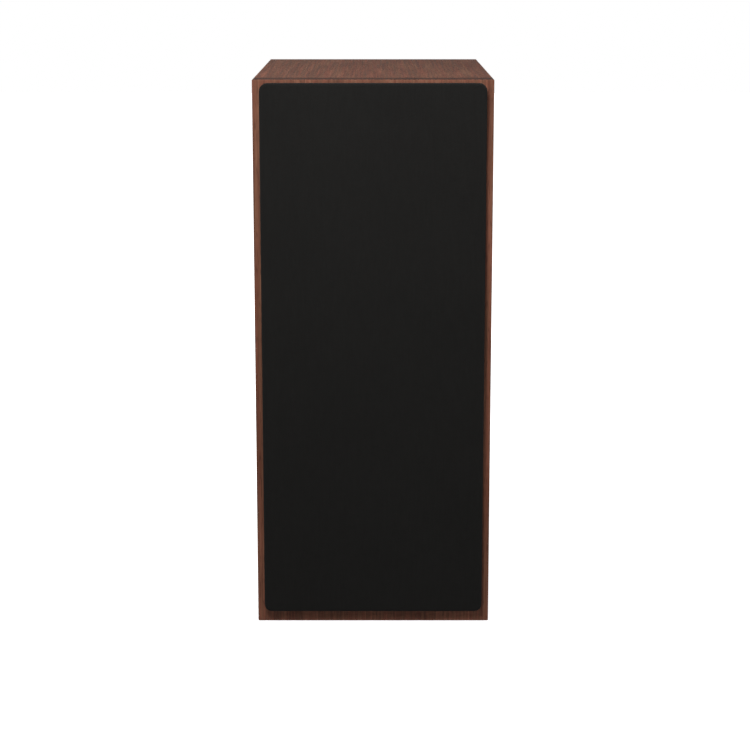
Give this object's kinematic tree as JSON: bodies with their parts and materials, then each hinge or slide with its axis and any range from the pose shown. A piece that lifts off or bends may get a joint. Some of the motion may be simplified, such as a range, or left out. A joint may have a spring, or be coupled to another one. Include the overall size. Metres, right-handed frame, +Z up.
{
  "type": "bookshelf speaker",
  "caption": "Tall narrow wooden bookshelf loudspeaker with a pull-off black cloth grille over sprung woofers and a dome tweeter, a rear port and screw-down binding posts.",
  "frame": {"origin": "middle of the cabinet's underside, where it rests on a shelf", "axes": "+Z up along the cabinet's height, +X to the right across its width seen from the front, the grille facing -Y"},
  "size_m": [0.19, 0.3026, 0.444],
  "materials": {
    "walnut": "satin veneer over board, dark reddish brown",
    "raw_board": "raw medium-density board",
    "grille_cloth": "black stretched speaker cloth",
    "black_frame": "satin black moulding",
    "ferrite": "dark ferrite",
    "magnet_steel": "nickel-plated neodymium",
    "cast_basket": "black powder-coated casting",
    "surround_rubber": "soft black rubber",
    "paper_cone": "coated black paper pulp",
    "copper_coil": "enamelled copper on a former",
    "spider_cloth": "impregnated folded cotton",
    "zinc_steel": "zinc-plated steel",
    "soft_dome": "coated textile dome",
    "faceplate": "satin black anodised",
    "port_plastic": "moulded black plastic",
    "foam_gasket": "closed-cell foam",
    "gold_brass": "gold-plated brass",
    "red_knob": "clear red moulding",
    "black_knob": "black moulding",
    "circuit_board": "glass-epoxy board",
    "nylon": "natural nylon",
    "capacitor_film": "taped film capacitor",
    "resistor_ceramic": "cement-filled ceramic",
    "felt": "grey acoustic felt",
    "screw_black": "black oxide steel",
    "lead_insulation": "insulated stranded copper"
  },
  "bodies": {
    "cabinet": {"baffle_magnets": "magnet_steel", "board_supports": "nylon", "bottom_panel": "walnut", "crossover_board": "circuit_board", "crossover_capacitors": "capacitor_film", "crossover_coils": "copper_coil", "crossover_resistors": "resistor_ceramic", "damping_pads": "felt", "driver_gaskets": "foam_gasket", "driver_leads": "lead_insulation", "driver_tags": "zinc_steel", "front_baffle": "walnut", "input_leads": "lead_insulation", "left_side_panel": "walnut", "lower_woofer_basket": "cast_basket", "lower_woofer_magnet": "ferrite", "lower_woofer_spider": "spider_cloth", "lower_woofer_surround": "surround_rubber", "lower_woofer_top_plate": "zinc_steel", "lower_woofer_yoke": "zinc_steel", "mounting_screws": "screw_black", "port_tube": "port_plastic", "post_nuts": "gold_brass", "rear_panel": "walnut", "right_side_panel": "walnut", "tag_strips": "black_frame", "terminal_cup": "port_plastic", "terminal_gasket": "foam_gasket", "terminal_posts": "gold_brass", "top_panel": "walnut", "tweeter_faceplate": "faceplate", "tweeter_magnet": "ferrite", "tweeter_rear_chamber": "port_plastic", "tweeter_surround": "soft_dome", "tweeter_top_plate": "zinc_steel", "tweeter_yoke": "zinc_steel", "upper_woofer_basket": "cast_basket", "upper_woofer_magnet": "ferrite", "upper_woofer_spider": "spider_cloth", "upper_woofer_surround": "surround_rubber", "upper_woofer_top_plate": "zinc_steel", "upper_woofer_yoke": "zinc_steel", "window_brace": "raw_board"},
    "grille": {"grille_frame": "black_frame", "grille_cloth": "grille_cloth", "grille_magnets": "magnet_steel"},
    "upper_cone": {"upper_woofer_cone": "paper_cone", "upper_woofer_dust_cap": "paper_cone", "upper_woofer_voice_coil": "copper_coil"},
    "lower_cone": {"lower_woofer_cone": "paper_cone", "lower_woofer_dust_cap": "paper_cone", "lower_woofer_voice_coil": "copper_coil"},
    "dome": {"tweeter_dome": "soft_dome", "tweeter_voice_coil": "copper_coil"},
    "positive_collar": {"positive_post_collar": "gold_brass"},
    "positive_knob": {"positive_post_knob": "red_knob"},
    "negative_collar": {"negative_post_collar": "gold_brass"},
    "negative_knob": {"negative_post_knob": "black_knob"}
  },
  "joints": [
    {"name": "grille_pull", "type": "slide", "parent": "cabinet", "child": "grille", "axis": [0, -1, 0], "range_m": [0, 0.12]},
    {"name": "upper_cone_travel", "type": "slide", "parent": "cabinet", "child": "upper_cone", "axis": [0, -1, 0], "range_m": [-0.005, 0.005], "stiffness_N_per_m": 1000, "deforming": ["upper_woofer_surround", "upper_woofer_spider"]},
    {"name": "lower_cone_travel", "type": "slide", "parent": "cabinet", "child": "lower_cone", "axis": [0, -1, 0], "range_m": [-0.005, 0.005], "stiffness_N_per_m": 1000, "deforming": ["lower_woofer_surround", "lower_woofer_spider"]},
    {"name": "dome_travel", "type": "slide", "parent": "cabinet", "child": "dome", "axis": [0, -1, 0], "range_m": [-0.0003, 0.0003], "stiffness_N_per_m": 1000, "deforming": ["tweeter_surround"]},
    {"name": "positive_collar_lift", "type": "slide", "parent": "cabinet", "child": "positive_collar", "axis": [0, 1, 0], "range_m": [0, 0.004]},
    {"name": "positive_knob_turn", "type": "hinge", "parent": "positive_collar", "child": "positive_knob", "pos_m": [-0.00953, 0.1351, 0.095], "axis": [0, 1, 0], "range_deg": [0, 1441]},
    {"name": "negative_collar_lift", "type": "slide", "parent": "cabinet", "child": "negative_collar", "axis": [0, 1, 0], "range_m": [0, 0.004]},
    {"name": "negative_knob_turn", "type": "hinge", "parent": "negative_collar", "child": "negative_knob", "pos_m": [0.00953, 0.1351, 0.095], "axis": [0, 1, 0], "range_deg": [0, 1441]}
  ],
  "couplings": [
    {"joint": "positive_knob_turn", "follows": "positive_collar_lift", "rad_per_m": 6283.2},
    {"joint": "negative_knob_turn", "follows": "negative_collar_lift", "rad_per_m": 6283.2}
  ]
}
